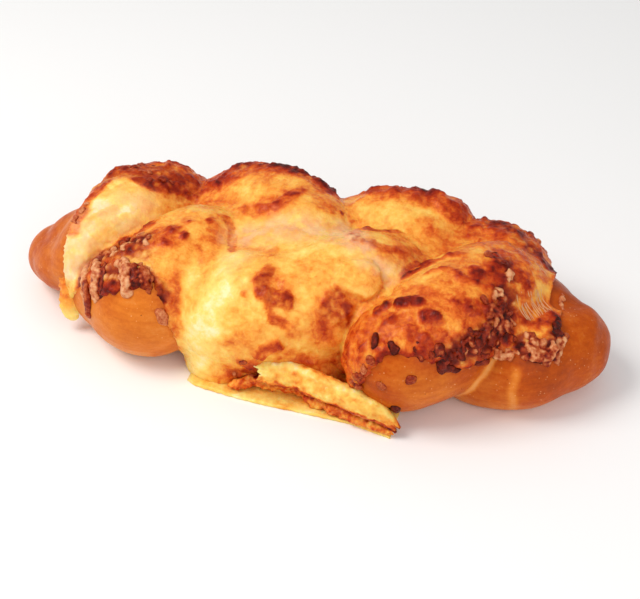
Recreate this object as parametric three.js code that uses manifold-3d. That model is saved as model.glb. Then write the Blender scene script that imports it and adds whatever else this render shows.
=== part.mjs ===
// A plaited loaf with cheese baked onto it, in millimetres, +Z up.
// X runs along the loaf, the front is at -Y, and the origin is the middle of its flat base.
// Three dough ropes are rolled with tapered ends, plaited and pressed onto a tray. In the oven they fuse
// with each other and with the melted cheese, so the whole loaf is one solid.
import * as THREE from "three";
import { mergeVertices } from "three/addons/utils/BufferGeometryUtils.js";
import Module from "manifold-3d";

// Everything below is placed from the plait's own axis, which is this far from the middle of the loaf's box.
const PLAIT_SHIFT = new THREE.Vector3(-1.25, 2.7, 0);

// The ropes: each row is a waypoint of the rope's middle line, x, y and z, and the rope's radius there.
// A rope runs along one edge, climbs over the middle of the loaf and dives under the next rope.
const ROPES = {
  first: [
    [-126, 4, 12, 8],
    [-117, 0, 18, 13],
    [-105, -9, 23, 15.5],
    [-94, -9, 28, 20.5],
    [-84, 8, 31.5, 22],
    [-75, 26, 28, 22.5],
    [-52, 18, 16, 22],
    [-24, -26.5, 25, 24.5],
    [5, -22.5, 29, 23.5],
    [28, -8, 31, 24],
    [48, 12, 20, 21],
    [76, 26, 27, 20.5],
    [95, 7, 25, 17.5],
    [114, 0, 18, 16],
    [124, 0, 14, 8],
  ],
  second: [
    [-124, 6, 11, 8],
    [-114, 8, 14, 12],
    [-98, 2, 14, 14],
    [-80, -20, 18, 19],
    [-60, -29, 24, 25],
    [-46, -10, 32, 23],
    [-32, 8, 24, 20],
    [0, 24, 20, 22],
    [36, 28, 28, 25.5],
    [60, 8, 20, 22],
    [80, -19, 15, 19],
    [98, -20, 18, 20],
    [110, -10, 18, 18.5],
    [120, -2, 17, 17.5],
    [129, 0, 15, 9],
  ],
  third: [
    [-124, 8, 12, 8],
    [-114, 12, 13, 12],
    [-90, 14, 14, 17],
    [-56, 26, 20, 21],
    [-30, 31, 30, 25],
    [-6, 14, 32, 25],
    [20, -6, 16, 17],
    [41, -22, 16, 15.5],
    [52.5, -37, 24, 23],
    [67, -22, 29, 25.5],
    [80, -1, 31, 23.5],
    [98, 10, 20, 18],
    [113, 6, 16, 14],
    [124, 2, 14, 8],
  ],
};
const ROPE_RINGS = 66;
const ROPE_SIDES = 22;
const ROPE_END = 0.03; // share of a rope's length that its rounded end takes

// The crumb that fills the gaps between the ropes, and the two tips where the rope ends are pinched together.
// Each is an ellipsoid: its centre, then its half length, half width and half height.
const FILLINGS = {
  crumb: { centre: [0, 0, 12], half: [112, 38, 27] },
  left_tip: { centre: [-111.5, 2, 17], half: [19.5, 17.5, 17] },
  right_tip: { centre: [109, -3, 17], half: [24.5, 22, 18.5] },
};

// The melted cheese: how thick it lies, how far down the sides it reaches, and the outline that it covers,
// seen from above, as x and y.
const CHEESE_THICKNESS = 1.8;
const CHEESE_LOWEST = 24;
const CHEESE_OUTLINE = [
  [-106, -26],
  [-88, -30],
  [-76, -44],
  [-52, -50],
  [-38, -62],
  [14, -62],
  [30, -54],
  [52, -54],
  [78, -42],
  [98, -34],
  [100, -4],
  [97, 26],
  [80, 48],
  [42, 56],
  [-30, 58],
  [-76, 50],
  [-100, 28],
  [-109, 0],
];
// In front of the long middle lobe the cheese ran right down onto the tray.
const CHEESE_RUN = [
  [-42, -62],
  [16, -62],
  [20, -34],
  [-40, -26],
];

// The foot: the sheet of cheese that set on the tray there, seen from above, and its thickness.
const FOOT = [
  [-38, -48],
  [-30, -51.5],
  [-14, -54.5],
  [2, -56],
  [20, -57.5],
  [38, -59.5],
  [55, -63],
  [53, -56],
  [44, -40],
  [0, -30],
  [-34, -36],
];
const FOOT_THICKNESS = 2;

// The crisp edge of that sheet, which rolled up and lies along the loaf: waypoints like a rope's.
const CURL = [
  [-9, -40, 6.5, 5.5],
  [-3, -42, 7.5, 7],
  [13, -46.4, 8, 7.6],
  [29, -51.5, 8.2, 8],
  [38, -53.8, 7.8, 7.2],
  [47, -56, 6, 5.6],
  [52, -58.8, 4, 3.5],
  [55, -60.5, 2.5, 2],
];

// The tray is a block under the loaf, which gives it its flat base. Solids that meet it start below its top.
const TRAY = { length: 400, width: 300, height: 100 };
const BELOW_TRAY = -10;
const ABOVE_LOAF = 100;

const COLOURS = { crust: 0xc8702c };

const wasm = await Module();
wasm.setup();

// A three.js geometry as a solid that can be joined and cut.
function solidOf(geometry) {
  const bare = new THREE.BufferGeometry().setAttribute("position", geometry.getAttribute("position"));
  bare.setIndex(geometry.index);
  const merged = mergeVertices(bare, 1e-4);
  return new wasm.Manifold(
    new wasm.Mesh({
      numProp: 3,
      vertProperties: merged.getAttribute("position").array,
      triVerts: new Uint32Array(merged.index.array),
    }),
  );
}

function geometryOf(solid) {
  const mesh = solid.getMesh();
  const points = new Float32Array(mesh.numVert * 3);
  for (let i = 0; i < mesh.numVert; i++) {
    points.set(mesh.vertProperties.subarray(i * mesh.numProp, i * mesh.numProp + 3), i * 3);
  }
  return new THREE.BufferGeometry()
    .setAttribute("position", new THREE.BufferAttribute(points, 3))
    .setIndex(new THREE.BufferAttribute(mesh.triVerts, 1));
}

// The rope's radius a share t of the way along it, eased between its waypoints.
function radiusAt(waypoints, t) {
  const place = t * (waypoints.length - 1);
  const i = Math.min(Math.floor(place), waypoints.length - 2);
  const share = THREE.MathUtils.smoothstep(place - i, 0, 1);
  return THREE.MathUtils.lerp(waypoints[i][3], waypoints[i + 1][3], share);
}

// A rope is turned as a straight lathe shape with round ends, then bent along its path.
// extra makes it that much thicker all round, for the cheese that covers it.
function ropeSolid(waypoints, extra) {
  const profile = [];
  for (let i = 0; i <= ROPE_RINGS; i++) {
    const t = i / ROPE_RINGS;
    const fromEnd = Math.min(1, Math.min(t, 1 - t) / ROPE_END);
    const roundEnd = Math.sqrt(1 - (1 - fromEnd) ** 2);
    profile.push(new THREE.Vector2((radiusAt(waypoints, t) + extra) * roundEnd, t));
  }
  const rope = new THREE.LatheGeometry(profile, ROPE_SIDES);
  const path = new THREE.CatmullRomCurve3(
    waypoints.map(([x, y, z]) => new THREE.Vector3(x, y, z)),
    false,
    "centripetal",
  );
  const up = new THREE.Vector3(0, 0, 1);
  const position = rope.getAttribute("position");
  const vertex = new THREE.Vector3();
  for (let i = 0; i < position.count; i++) {
    vertex.fromBufferAttribute(position, i);
    const t = THREE.MathUtils.clamp(vertex.y, 0, 1);
    const along = path.getTangent(t);
    const side = new THREE.Vector3().crossVectors(along, up).normalize();
    const over = new THREE.Vector3().crossVectors(side, along);
    const place = path.getPoint(t).addScaledVector(side, vertex.x).addScaledVector(over, vertex.z);
    position.setXYZ(i, place.x, place.y, place.z);
  }
  return solidOf(rope);
}

function plaitSolid(extra) {
  return Object.values(ROPES)
    .map((waypoints) => ropeSolid(waypoints, extra))
    .reduce((plait, rope) => plait.add(rope));
}

// A flat shape with its outline in x and y, from one height up to another.
function slabSolid(outline, low, high) {
  const shape = new THREE.Shape(outline.map(([x, y]) => new THREE.Vector2(x, y)));
  const slab = new THREE.ExtrudeGeometry(shape, { depth: high - low, bevelEnabled: false });
  return solidOf(slab.translate(0, 0, low));
}

function ellipsoidSolid({ centre, half }) {
  return solidOf(new THREE.SphereGeometry(1, 32, 18).scale(...half).translate(...centre));
}

// The cheese is the part of a slightly thicker plait that lies inside the cheese's outline.
function cheeseSolid() {
  const top = slabSolid(CHEESE_OUTLINE, CHEESE_LOWEST, ABOVE_LOAF);
  const run = slabSolid(CHEESE_RUN, BELOW_TRAY, ABOVE_LOAF);
  return plaitSolid(CHEESE_THICKNESS).intersect(top.add(run));
}

function loafGeometry() {
  const tray = new THREE.BoxGeometry(TRAY.length, TRAY.width, TRAY.height).translate(0, 0, -TRAY.height / 2);
  const loaf = Object.values(FILLINGS)
    .reduce((dough, filling) => dough.add(ellipsoidSolid(filling)), plaitSolid(0))
    .add(cheeseSolid())
    .add(slabSolid(FOOT, BELOW_TRAY, FOOT_THICKNESS))
    .add(ropeSolid(CURL, 0))
    .subtract(solidOf(tray));
  // The air trapped where the ropes cross closes up in the oven: only the outer skin is kept.
  const [skin] = loaf.decompose().filter((body) => body.volume() > 0);
  return geometryOf(skin).translate(PLAIT_SHIFT.x, PLAIT_SHIFT.y, PLAIT_SHIFT.z);
}

const loaf = new THREE.Mesh(
  loafGeometry(),
  new THREE.MeshStandardMaterial({ color: COLOURS.crust, roughness: 0.55, metalness: 0 }),
);
loaf.name = "braided_loaf";

const object = new THREE.Group();
object.add(loaf);

export default object;
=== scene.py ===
# Looks for the braided cheese loaf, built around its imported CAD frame. Blender 4.5.
# Blender works in metres. Every list of places and sizes below is in millimetres in the loaf's frame:
# X along the loaf, front at -Y, Z up, origin in the middle of the flat base.
import math

import bmesh
import bpy
import numpy as np
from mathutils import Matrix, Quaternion, Vector, noise
from mathutils.bvhtree import BVHTree

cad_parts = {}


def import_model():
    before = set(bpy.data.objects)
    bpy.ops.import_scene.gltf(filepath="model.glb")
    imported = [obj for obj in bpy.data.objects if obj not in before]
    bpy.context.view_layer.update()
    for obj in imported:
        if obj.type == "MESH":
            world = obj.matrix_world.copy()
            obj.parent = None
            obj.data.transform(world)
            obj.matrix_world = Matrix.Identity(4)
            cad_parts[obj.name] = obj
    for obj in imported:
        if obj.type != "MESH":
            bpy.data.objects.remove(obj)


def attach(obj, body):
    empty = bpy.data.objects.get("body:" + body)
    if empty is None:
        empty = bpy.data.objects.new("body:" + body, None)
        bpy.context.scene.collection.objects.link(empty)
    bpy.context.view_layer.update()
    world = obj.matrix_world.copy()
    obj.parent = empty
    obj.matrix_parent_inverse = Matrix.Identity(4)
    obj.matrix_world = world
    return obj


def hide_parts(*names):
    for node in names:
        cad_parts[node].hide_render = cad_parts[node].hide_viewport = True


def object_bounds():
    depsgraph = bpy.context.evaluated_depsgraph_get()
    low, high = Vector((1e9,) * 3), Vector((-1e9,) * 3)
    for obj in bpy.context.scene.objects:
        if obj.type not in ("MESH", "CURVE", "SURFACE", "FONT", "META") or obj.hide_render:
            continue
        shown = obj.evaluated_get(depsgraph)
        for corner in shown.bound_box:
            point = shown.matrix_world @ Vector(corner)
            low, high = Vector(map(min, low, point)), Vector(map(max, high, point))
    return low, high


MM = 0.001
NODE = "braided_loaf"
SEED = 7

# ---- The dough ----

# Middle of the plait's axis, and the ropes' waypoints from it: x, y, z and the rope's radius there.
PLAIT_AXIS = (-1.25, 2.7, 0)
ROPES = {
    "first": [
        (-126, 4, 12, 8), (-117, 0, 18, 13), (-105, -9, 23, 15.5), (-94, -9, 28, 20.5), (-84, 8, 31.5, 22),
        (-75, 26, 28, 22.5), (-52, 18, 16, 22), (-24, -26.5, 25, 24.5), (5, -22.5, 29, 23.5),
        (28, -8, 31, 24), (48, 12, 20, 21), (76, 26, 27, 20.5), (95, 7, 25, 17.5), (114, 0, 18, 16),
        (124, 0, 14, 8),
    ],
    "second": [
        (-124, 6, 11, 8), (-114, 8, 14, 12), (-98, 2, 14, 14), (-80, -20, 18, 19), (-60, -29, 24, 25),
        (-46, -10, 32, 23), (-32, 8, 24, 20), (0, 24, 20, 22), (36, 28, 28, 25.5), (60, 8, 20, 22),
        (80, -19, 15, 19), (98, -20, 18, 20), (110, -10, 18, 18.5), (120, -2, 17, 17.5), (129, 0, 15, 9),
    ],
    "third": [
        (-124, 8, 12, 8), (-114, 12, 13, 12), (-90, 14, 14, 17), (-56, 26, 20, 21), (-30, 31, 30, 25),
        (-6, 14, 32, 25), (20, -6, 16, 17), (41, -22, 16, 15.5), (52.5, -37, 24, 23), (67, -22, 29, 25.5),
        (80, -1, 31, 23.5), (98, 10, 20, 18), (113, 6, 16, 14), (124, 2, 14, 8),
    ],
}
ROPE_END = 0.03  # share of a rope's length that its rounded end takes
# Ellipsoids, from the plait's axis, as centre and half size: the crumb between the ropes, the two pinched
# tips, the shoulder beside the left one, three behind the long middle lobe, the skirt of cheese below it in
# two, and the first and the third back lobe.
FILLINGS = [
    ((0, 0, 12), (112, 38, 27)),
    ((-111.5, 2, 17), (19.5, 17.5, 17)),
    ((109, -3, 17), (24.5, 22, 18.5)),
    ((-106, 0, 24), (15, 17, 19)),
    ((-6, -8, 36), (26, 17, 17)),
    ((-30, 2, 34), (15, 20, 15)),
    ((34, 2, 36), (20, 18, 15)),
    ((-25, -31, 8), (18, 18, 24)),
    ((4, -30, 8), (25, 17, 24)),
    ((-89, 19, 31), (15, 18, 21)),
    ((50, 34, 31), (17, 17, 22)),
]
# Paler and darker places of the crust: half width, browning, how much of it is laid on, and the points.
CRUST_MARKS = [
    # The first mark is a painted highlight: a pale line along the crease at the front right.
    (2, -0.1, 0.8, (71.6, -34.3, 6), (76, -34, 12), (82, -31.5, 20), (88, -28, 28)),
    (3.4, 0.05, 0.7, (97, -29, 4), (96.5, -30.5, 13), (97, -29.5, 23)),
    (2, 0.6, 0.4, (91, -32, 16), (87, -33, 12), (80, -35, 9)),
    # The next two are painted shade on the dough in the gap behind the curl's right end, down to the tray.
    (7, 0.66, 0.6, (41, -44, 12), (44, -48, 18), (48, -53, 24)),
    (6, 0.8, 0.6, (44, -46, 4), (54, -50, 4)),
    (5, 0.6, 0.4, (54, -56, 29), (66, -54, 26), (74, -46, 26)),
    (5, 0.55, 0.5, (-46, -44, 12), (-52, -46, 7)),
]
SKIN_VOXEL = 1.03
TIPS = 99  # distance from the middle beyond which the dough of the tips is smoothed as well
LEFT_TIP_PRESS = 0.13  # share of its height by which the left tip is flatter than its ropes
BOX_MARGIN = 2.5  # distance from the walls of the CAD model's box over which a surface is drawn in

# ---- The melted cheese ----

CHEESE_END = 75  # a height above the loaf, where there is no cheese
# Lowest height that the cheese reaches, as x and z along the front and along the back of the loaf.
FRONT_EDGE = [
    (-134, CHEESE_END), (-101, CHEESE_END), (-99.5, 14), (-97, 19), (-92, 27), (-84, 31), (-75, 36),
    (-63, 41), (-53, 43), (-48, 36), (-44, 22), (-41, -5), (31, -5), (36, 15), (42, 29), (48, 37),
    (60, 38), (72, 34), (80, 31), (92, 31), (103, 31), (110, 30), (113, CHEESE_END), (134, CHEESE_END),
]
BACK_EDGE = [
    (-134, CHEESE_END), (-102, CHEESE_END), (-99, 36), (-90, 27), (-70, 22), (-48, 28), (-25, 20), (0, 25),
    (12, 18), (35, 22), (58, 28), (75, 22), (92, 27), (103, 34), (108, CHEESE_END), (134, CHEESE_END),
]
EDGE_BLEND = 16  # mm in y over which the front's edge turns into the back's

# Brush strokes on the cheese, painted in this order: half width, height that it adds, browning, how much of
# it is laid on, and the points on the surface. Browning 0 is cream, 0.35 golden, 0.7 toasted and 1 burnt.
STROKES = [
    # left end: pale band over the first lobe, with toasted crumbs along its back
    (19, 0.2, 0.03, 1.0, (-102, -22, 30), (-100, -18, 45), (-92, -8, 51), (-82, 2, 54)),
    (2, 0.4, 0.3, 0.6, (-97, -18, 44), (-90, -10, 50), (-84, -4, 53)),
    (1.8, 0.3, 0.3, 0.6, (-90, -20, 42), (-84, -12, 47), (-78, -6, 51)),
    (2.4, 0.3, 0.26, 0.6, (-92, 0, 53), (-84, 8, 55), (-76, 8, 55)),
    (10, 0.1, 0.28, 0.8, (-78, 4, 54), (-68, 8, 54), (-60, 14, 52)),
    (6, 0.2, 0.34, 0.8, (-101, -24, 25), (-97, -30, 21)),
    (4.4, 0.3, 0.64, 0.9, (-99, -16, 47), (-98, -10, 50), (-97, 0, 52), (-95, 12, 53)),
    (15, 0.5, 0.68, 0.97, (-94, 26, 50), (-82, 24, 53), (-70, 24, 52), (-60, 27, 49)),
    (4.5, 0.5, 0.78, 0.9, (-80, 15, 55), (-73, 15, 53), (-67, 20, 50)),
    (7, 0.3, 0.7, 0.7, (-92, 34, 48), (-76, 38, 48), (-62, 36, 46)),
    (8, 0.1, 0.4, 0.8, (-53, 22, 46), (-47, 18, 45)),
    # second lobe: browned shoulder, then golden towards its top
    (13, 0.1, 0.36, 0.85, (-60, -24, 54), (-50, -18, 55), (-44, -8, 56)),
    (5, 0.2, 0.74, 0.9, (-90, -31, 31), (-86, -30, 36), (-79, -24, 43), (-75, -15, 45), (-66, -12, 52)),
    (9, 0.4, 0.64, 0.95, (-84, -30, 38), (-72, -30, 47), (-63, -24, 52), (-54, -22, 54)),
    (7, 0.2, 0.62, 0.85, (-64, -40, 45), (-54, -43, 43), (-48, -43, 40)),
    (7, 0.1, 0.34, 0.8, (-46, -12, 56), (-42, -2, 56), (-40, 6, 54)),
    (2.6, 0.5, 0.8, 0.95, (-47, -19, 55)),
    (2.2, 0.4, 0.78, 0.95, (-53, -25, 54)),
    (2, 0.1, 0.66, 0.9, (-40, -7, 56)),
    (1.8, 0.1, 0.62, 0.9, (-47, -11, 56)),
    # bright groove between the second lobe and the long middle one, down to the tray
    (14, 0, 0.11, 1.0, (-23, -28, 52), (-24, -39, 48), (-27, -46, 39), (-31, -48, 30), (-35, -47, 18),
     (-36, -42, 4)),
    (7, 0, 0.22, 0.9, (-40, -30, 47), (-38, -38, 42), (-38, -44, 32)),
    (5, 0.2, 0.5, 0.85, (-44, -42, 40), (-43, -44, 34), (-42, -44, 24)),
    (2.4, -0.4, 0.56, 0.9, (-35, 1, 53), (-30, -8, 50), (-26, -19, 51)),
    # back lobe: toasted rim, golden face, brown ridge
    (12, 0.3, 0.67, 0.95, (-50, 33, 50), (-41, 38, 54), (-30, 38, 57), (-12, 38, 56), (2, 36, 54)),
    (5, 0.4, 0.84, 0.9, (-41, 41, 53)),
    (5.5, 1.4, 0.98, 0.97, (-24, 39, 57), (-14, 41, 55)),
    (5.5, 1.6, 0.86, 0.92, (-3, 40, 54), (3, 36, 53)),
    (9, 0.1, 0.34, 0.85, (-38, 22, 55), (-30, 16, 56), (-22, 20, 59)),
    (3.8, 0.5, 0.6, 0.95, (-23, 9, 54), (-17, 9, 56), (-12, 14, 58), (-9, 20, 59)),
    (3.5, 0.2, 0.52, 0.8, (-30, 8, 54), (-25, 6, 53)),
    # pale, hardly melted patch in the middle
    (12, 0, 0.22, 0.95, (-22, -1, 45), (-11, -2, 50), (0, 2, 54), (10, 6, 54), (18, -4, 56)),
    (7, 0, 0.2, 0.8, (-16, -12, 50), (0, -8, 52), (12, -8, 55)),
    (7, -0.2, 0.26, 0.95, (24, -16, 56), (33, -15, 54), (42, -14, 49)),
    (1.6, 0, 0.8, 0.9, (11, 19, 52)),
    # next back lobe: golden with a brown ridge round its near end and a toasted rim
    (13, 0.1, 0.27, 0.9, (22, 24, 52), (35, 21, 54), (46, 22, 53)),
    (3.2, 0.4, 0.62, 0.9, (24, -7, 57), (21, -2, 56), (20, 8, 52), (26, 9, 54), (36, 13, 51)),
    (3, 0.3, 0.58, 0.85, (26, -6, 56), (34, -6, 55), (42, -2, 50)),
    (6, 0.1, 0.5, 0.8, (42, -2, 50), (50, 2, 51), (58, 8, 50)),
    (10, 1.6, 0.7, 0.95, (20, 38, 52), (34, 39, 54), (48, 38, 51), (58, 34, 47)),
    (5, 0.4, 0.84, 0.9, (38, 41, 52), (47, 40, 50)),
    (8, 0.1, 0.5, 0.8, (50, 20, 51), (58, 14, 49)),
    # long middle lobe: golden, with blistered brown patches
    (14, 0.1, 0.3, 0.95, (-12, -30, 53), (-4, -26, 54), (10, -24, 55), (16, -30, 50), (8, -38, 44)),
    (9, 0, 0.07, 0.85, (-28, -45, 38), (-31, -48, 30), (-33, -47, 18)),
    (8, 0.3, 0.2, 0.95, (0, -14, 56), (14, -13, 57), (24, -18, 55)),
    (4.9, 1.8, 0.26, 0.95, (25, -21, 55), (35, -20, 53), (35, -24, 52), (25, -25, 54), (26, -29, 52),
     (35, -28, 50)),
    (2.4, -0.8, 0.36, 0.7, (21, -19, 56), (28, -15, 55), (38, -16, 52), (42, -24, 48)),
    (2, -0.6, 0.5, 0.8, (23, -32, 50), (31, -33, 48), (38, -31, 46)),
    (5.4, 1, 0.64, 0.95, (-6, -31, 52), (-8, -36, 50), (-5, -39, 47)),
    (3.9, 0.8, 0.62, 0.95, (-3, -40, 46), (4, -40, 45)),
    (5, 0.5, 0.36, 0.8, (2, -34, 50), (8, -33, 50)),
    (2.6, 0.5, 0.62, 0.9, (-3, -43, 43), (-1, -45, 40), (5, -44, 37), (9, -44, 34)),
    (5.5, 0.6, 0.6, 0.95, (23, -32, 46), (19, -36, 43), (20, -38, 38), (26, -36, 37), (28, -33, 41)),
    (9, 0.2, 0.31, 0.9, (14, -42, 36), (10, -44, 28), (-6, -46, 30)),
    (4.5, 0.3, 0.4, 0.8, (8, -44, 34), (16, -42, 32), (24, -40, 30)),
    (7, 0.8, 0.4, 0.9, (20, -41, 25)),
    (4.6, 1.2, 0.68, 0.95, (1, -47, 27), (-4, -48, 24)),
    (4.6, 1.2, 0.64, 0.95, (-12, -48, 19), (-9, -47, 17)),
    (6, 0.4, 0.62, 0.95, (-18, -46, 6), (-8, -46, 8), (0, -45, 14)),
    (6, 0.2, 0.53, 0.85, (4, -44, 22), (14, -42, 19), (24, -40, 18), (34, -38, 16)),
    (2.4, 0.2, 0.48, 0.8, (-14, -41, 47)),
    # front right lobe: reddish, blistered, with dark toasted spots
    (10, 0.4, 0.6, 0.95, (34, -38, 42), (36, -44, 30), (38, -48, 14)),
    (21, 0.3, 0.46, 0.97, (50, -40, 47), (60, -36, 51), (70, -26, 55), (78, -12, 57)),
    (9, 0.3, 0.64, 0.95, (50, -44, 44), (62, -46, 42), (74, -42, 42), (84, -34, 42)),
    (11, 0.3, 0.76, 0.94, (76, -30, 50), (84, -20, 50), (84, -6, 53)),
    (5, 0.2, 0.38, 0.7, (50, -34, 50), (56, -36, 50), (60, -40, 48)),
    (5, 0.2, 0.44, 0.7, (70, -27, 55), (76, -22, 54), (81, -22, 52)),
    (3, 0.5, 0.7, 0.9, (45, -12, 49), (49, -4, 48), (58, -5, 53), (66, -3, 56)),
    (3.2, 0.6, 0.76, 0.95, (46, -14, 51), (50, -11, 52), (55, -6, 53)),
    (2.2, 0.6, 0.66, 0.8, (56, -18, 54), (64, -16, 56), (72, -20, 56)),
    (4.8, 1.6, 0.84, 1.0, (75, -16, 56)),
    (4.9, 1.7, 0.84, 1.0, (63, -39, 50)),
    (3.6, 1.2, 0.82, 1.0, (50, -36, 50), (57, -34, 53)),
    (3.3, 1.1, 0.78, 1.0, (41, -37, 46), (43, -34, 48)),
    (3.6, 0.9, 0.78, 0.95, (79, -1, 56), (82, -5, 56), (84, -3, 55)),
    (5, 0.3, 0.62, 0.85, (40, -40, 40), (40, -50, 33), (42, -53, 24)),
    (8, 0.4, 0.76, 0.95, (84, -27, 48), (88, -26, 44), (91, -27, 38), (86, -32, 42)),
    (6, 0.2, 0.78, 0.95, (78, -38, 40), (83, -36, 38), (88, -32, 37)),
    (5, 0.1, 0.68, 0.9, (44, -50, 41), (50, -52, 39)),
    # last back lobe and the shiny, stringy cheese beside it
    (17, 0.2, 0.66, 0.97, (65, 36, 45), (74, 34, 48), (84, 28, 48), (92, 22, 46)),
    (9, 0.2, 0.5, 0.94, (62, 4, 52), (72, 8, 53), (84, 8, 53), (92, 6, 50)),
    (8, 0.2, 0.55, 0.9, (78, 26, 49), (86, 14, 51), (90, 4, 51)),
    (6, 0.1, 0.55, 0.85, (92, 12, 46), (97, 6, 42)),
    (4.5, 0.5, 0.84, 0.95, (97, 21, 41), (100, 18, 39)),
    (3.2, 0.3, 0.84, 0.9, (85, 31, 48)),
    (8, 0.1, 0.52, 0.92, (93, -11, 48), (97, -10, 45), (101, -8, 40), (106, -5, 38)),
    (6, 0.3, 0.7, 0.92, (82, 3, 54), (86, 0, 53), (90, -4, 51), (93, -2, 48)),
    (4, 0.2, 0.66, 0.8, (104, 10, 38), (107, 4, 38)),
    (6, 0.1, 0.66, 0.95, (94, -20, 41), (103, -18, 38), (108, -10, 37)),
    (7, 0.2, 0.72, 0.95, (98, -28, 33), (105, -28, 32), (111, -24, 32), (112, -16, 34)),
]
# Where the outer rim of the cheese is crisp: reach, browning and the points.
CRISP_EDGES = [
    (9, 0.74, (-88, -30, 30), (-76, -42, 35), (-62, -46, 41), (-48, -46, 36)),
    (9, 0.76, (40, -52, 18), (44, -52, 26), (52, -53, 37), (66, -50, 36), (78, -42, 32)),
    (8, 0.72, (84, -38, 31), (100, -32, 31), (112, -28, 30)),
    (6, 0.66, (112, -20, 34), (110, 0, 37), (104, 12, 38)),
]
# Places where toasted grains of cheese stand close together: half width, how plain they are and the points.
GRAINY = [
    (15, 0.35, (-94, 26, 50), (-82, 24, 54), (-72, 22, 53), (-64, 24, 50)),
    (5, 0.4, (-97, 10, 51), (-94, 22, 50)),
    (7, 1.0, (-90, -28, 34), (-82, -26, 41), (-74, -22, 47), (-64, -24, 52)),
    (6, 0.9, (-76, -38, 42), (-66, -40, 46), (-56, -41, 46), (-50, -44, 40)),
    (6, 0.5, (-72, -30, 47), (-60, -32, 51)),
    (5, 0.5, (-40, 40, 54), (-20, 40, 57), (0, 38, 54)),
    (3.4, 0.3, (-6, -31, 52), (-8, -36, 50), (-3, -40, 46), (4, -40, 45)),
    (5, 0.3, (23, -32, 46), (20, -37, 41), (26, -36, 37), (28, -33, 41)),
    (4.5, 0.4, (-16, -47, 8), (-4, -46, 8)),
    (8, 1.0, (74, -44, 38), (82, -36, 40), (88, -28, 42), (88, -18, 48)),
    (4, 0.6, (84, -2, 55), (89, -8, 52)),
    (6, 0.5, (72, 38, 46), (84, 32, 47), (92, 24, 45)),
    (6, 1.0, (98, -28, 33), (106, -28, 32), (111, -25, 31), (112, -16, 34)),
]
GRAIN_SIZE = 3.5
# Creases and hollows that the melted cheese fills and smooths: half width and the points.
MELTED = [
    (17, (-34, 10, 50), (-27, -15, 50), (-24, -39, 48), (-31, -48, 30), (-38, -46, 12), (-38, -44, 0)),
    (22, (-26, 4, 46), (-8, -4, 48), (8, 0, 54), (24, -12, 56), (44, -12, 49)),
    (13, (-60, 12, 48), (-48, 16, 48), (-38, 16, 48)),
    (10, (-100, -20, 30), (-104, -8, 40), (-100, 8, 44)),
    (7, (-86, -28, 30), (-78, -14, 40), (-66, -4, 48)),
    (14, (-30, -46, 8), (-10, -44, 10), (20, -42, 14), (34, -38, 20)),
    (8, (34, -38, 20), (36, -30, 40), (44, -16, 48)),
    (9, (14, 22, 48), (14, 34, 42)),
    (8, (62, 16, 46), (64, 34, 38)),
    (8, (88, -4, 48), (92, -16, 42), (92, -26, 36)),
]
MELT_ROUNDS = 104  # rounds of smoothing that make the surface which the cheese fills up to
# Pinkish or creamy, hardly coloured patches of the cheese: half width, how plain they are and the points.
PINK = [
    (13, 0.75, (-26, -8, 50), (-11, -2, 50), (0, 0, 54), (12, 2, 55), (20, -5, 56)),
    (8.5, 0.8, (14, 12, 52), (20, -6, 56), (33, -15, 54), (41, -15, 49)),
    (15, 0.5, (-98, -24, 34), (-92, -18, 46), (-84, -8, 50), (-76, 0, 52)),
    (9, 0.35, (-24, -30, 51), (-20, -16, 52), (-12, -10, 52)),
]
SPOT = 5  # half width below which a brush stroke has a firm edge
FULLY_WARPED = 6  # half width from which a brush stroke's outline is as ragged as it gets
CHEESE_THICKNESS = 1.5
CHEESE_ROUND = 2.0  # distance over which its edge is rounded
CHEESE_SUNK = 1.2  # how far it ends below the dough's surface
CHEESE_INSIDE = 1.0  # depth of its hidden underside below that

# ---- Drips, crumbs and strands ----

# Drips of cheese that set as they hung: the browning at their two ends, and waypoints as x, y, z and radius.
DRIPS = [
    (0.15, 0.3, (-90, -27, 34, 1.8), (-87, -33, 33, 2.2), (-86, -37, 28, 2), (-84, -40, 22, 1.5)),
    (0.6, 0.6, (-87, -34, 34, 1.4), (-84, -40, 32, 1.6), (-83, -42, 26, 1.6), (-83, -42, 20, 1.8)),
    (0.2, 0.25, (-82, -30, 41, 2.4), (-80, -37, 40, 2.6), (-79, -41, 35, 2.4), (-78, -43, 30, 2)),
    (0.6, 0.75, (-78, -31, 43, 1.6), (-76, -38, 41, 1.8), (-75, -43, 36, 1.6), (-75, -44, 32, 1.2)),
    (0.25, 0.15, (-69, -33, 48, 2.4), (-66, -38, 47, 2.8), (-64, -43, 43, 2.8), (-63, -46, 37, 2.6)),
    (0.65, 0.75, (-63, -36, 49, 1.5), (-61, -42, 46, 1.6), (-60, -44, 42, 1.2)),
    (0.4, 0.7, (-59, -37, 49, 1.8), (-56, -41, 46, 1.8), (-55, -44, 43, 1.6)),
    (0.75, 0.9, (43, -47, 44, 1.3), (43, -50, 41, 1.6), (44, -51, 37, 1.3)),
    (0.8, 0.9, (49, -49, 43, 1.8), (51, -51, 40, 2.6), (52, -52, 38, 1.8)),
    (0.6, 0.66, (59, -46, 44, 2.2), (60, -49, 40, 2.6), (63, -50, 35, 2.2)),
    (0.72, 0.84, (68, -45, 43, 1.8), (69, -47, 39, 2), (70, -49, 34, 2), (70, -49, 30, 1.5)),
    (0.8, 0.9, (71, -48, 35, 1.3), (74, -47, 32, 1.7), (77, -44, 31, 1.3)),
    (0.8, 0.6, (80, -41, 33, 1.4), (83, -38, 31, 2.1), (87, -36, 31, 1.6)),
    (0.3, 0.3, (88, -34, 32, 1.3), (92, -33, 32, 1.6), (96, -32, 33, 1.3)),
    (0.85, 0.9, (108, -8, 37, 1.8), (109, -14, 36, 3), (110, -20, 35, 2.6)),
]
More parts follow.
